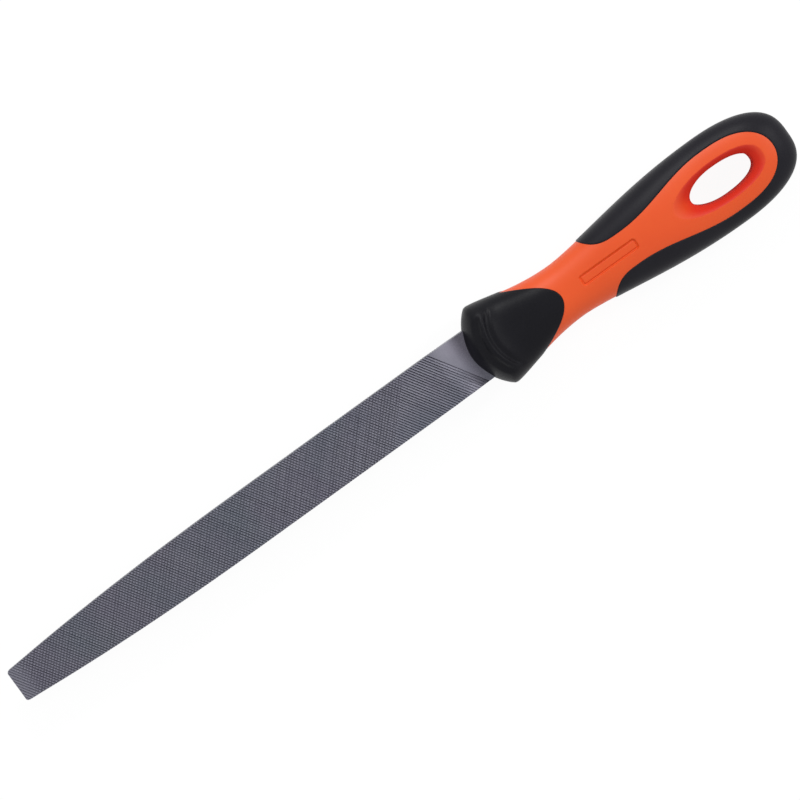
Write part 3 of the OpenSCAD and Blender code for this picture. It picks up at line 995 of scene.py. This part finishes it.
# painted shade: the collar is the same black moulding as the grip but gets a darker base colour for the
# shading its form takes
finish_piece(collar, "front_collar",
             rubber_material("collar_rubber", rgb(10, 10, 16), rgb(14, 14, 20)))
finish_piece(grip, "rear_grip",
             rubber_material("grip_rubber", rgb(23, 22, 28), rgb(29, 28, 34)))


# ---------------------------------------------------------------- stage, light and camera

def seen_share(m):
    """1 for the rays that show the backdrop: those of the camera, of gloss and of glass."""
    path = m.add("ShaderNodeLightPath")
    share = path.outputs["Is Camera Ray"]
    for name in ("Is Glossy Ray", "Is Transmission Ray"):
        larger = m.add("ShaderNodeMath", {0: share, 1: path.outputs[name]}, operation="MAXIMUM")
        share = larger.outputs[0]
    return share


def floor_material():
    """Almost white where it is seen, and a plain pale surface where it only lights the object."""
    m = Nodes(bpy.data.materials.new("pale_floor"))
    m.tree.nodes.clear()
    plain = m.add("ShaderNodeBsdfDiffuse", {"Color": (0.86, 0.86, 0.86, 1)})
    faint = m.add("ShaderNodeBsdfDiffuse", {"Color": (0.1, 0.1, 0.1, 1)})
    glow = m.add("ShaderNodeEmission", {"Strength": 0.93})
    both = m.add("ShaderNodeAddShader", {0: faint.outputs[0], 1: glow.outputs[0]})
    mix = m.add("ShaderNodeMixShader", {0: seen_share(m), 1: plain.outputs[0], 2: both.outputs[0]})
    m.add("ShaderNodeOutputMaterial", {"Surface": mix.outputs[0]})
    return m.owner


def make_floor():
    below, half = 0.0005, 3.0
    low = cad_box[0].z - below
    mesh = bpy.data.meshes.new("floor")
    mesh.from_pydata([(-half, -half, low), (half, -half, low), (half, half, low), (-half, half, low)], [],
                     [(0, 1, 2, 3)])
    mesh.materials.append(floor_material())
    floor = bpy.data.objects.new("floor", mesh)
    bpy.context.collection.objects.link(floor)


def make_world():
    """White all round, and dimmer where it only lights the object."""
    m = Nodes(bpy.data.worlds.new("studio"))
    bpy.context.scene.world = m.owner
    strength = m.add("ShaderNodeMapRange", {"Value": seen_share(m), "To Min": 0.65, "To Max": 1.0})
    background = m.tree.nodes["Background"]
    m.put(background.inputs["Strength"], strength.outputs["Result"])
    m.put(background.inputs["Color"], (1, 1, 1, 1))


def make_lamp(name, at, size, power):
    """A round lamp that points at the origin."""
    data = bpy.data.lights.new(name, "AREA")
    data.shape, data.size, data.energy = "DISK", size, power
    lamp = bpy.data.objects.new(name, data)
    lamp.location = at
    lamp.rotation_euler = (-lamp.location).to_track_quat("-Z", "Y").to_euler()
    bpy.context.collection.objects.link(lamp)


def make_camera():
    """Looks down on the face, with the file turned towards the view's upper right corner."""
    lens, sensor = 300, 36
    frame_width, middle = 0.2817, Vector((0.0012, 0.0029, 0))
    turn, tilt = math.radians(35.8), math.radians(4.5)
    along, sideways = Vector((1, 0, 0)), Vector((0, math.cos(tilt), -math.sin(tilt)))
    right = math.cos(turn) * along - math.sin(turn) * sideways
    up = math.sin(turn) * along + math.cos(turn) * sideways
    back = right.cross(up)
    place = Matrix.Translation(middle + frame_width * lens / sensor * back)
    data = bpy.data.cameras.new("camera")
    data.lens, data.sensor_width = lens, sensor
    camera = bpy.data.objects.new("camera", data)
    camera.matrix_world = place @ Matrix((right, up, back)).transposed().to_4x4()
    bpy.context.collection.objects.link(camera)
    bpy.context.scene.camera = camera


make_floor()
make_world()
make_lamp("key", at=(0.3, 0.9, 0.7), size=0.35, power=4.5)
make_lamp("side", at=(0.95, 0.1, 0.7), size=0.25, power=2.2)
make_camera()
bpy.context.scene.view_settings.view_transform = "Standard"
